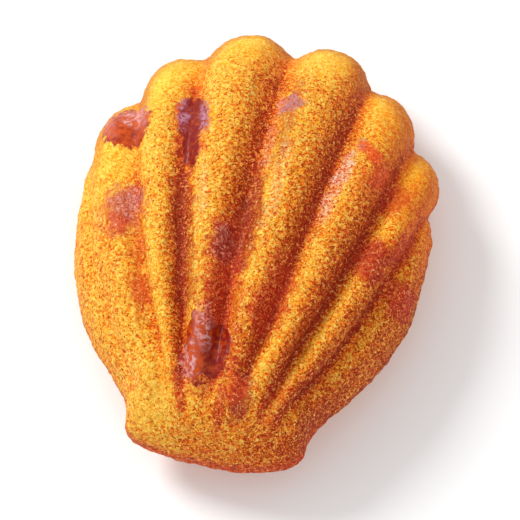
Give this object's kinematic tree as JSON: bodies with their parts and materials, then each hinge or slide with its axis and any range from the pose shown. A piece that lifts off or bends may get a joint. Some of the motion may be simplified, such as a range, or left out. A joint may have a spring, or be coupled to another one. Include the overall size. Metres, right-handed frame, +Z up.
{
  "type": "caramel madeleine",
  "caption": "Shell-shaped sponge cake with a ribbed, scalloped fan, a smooth hinge end and melted caramel in its browned crust, lying ribbed side up on the low hump of its back.",
  "frame": {"origin": "under the middle of the cake's box, on the surface that it rests on", "axes": "+Y from the hinge end to the tips of the fan, +Z up out of the ribbed side, +X to the right of +Y seen from above"},
  "size_m": [0.0552, 0.0724, 0.0237],
  "materials": {
    "crust": "porous golden-orange baked sponge crust, browner in the grooves and at the rim, with glossy dark amber caramel patches"
  },
  "bodies": {
    "root": {"madeleine": "crust"}
  },
  "joints": []
}
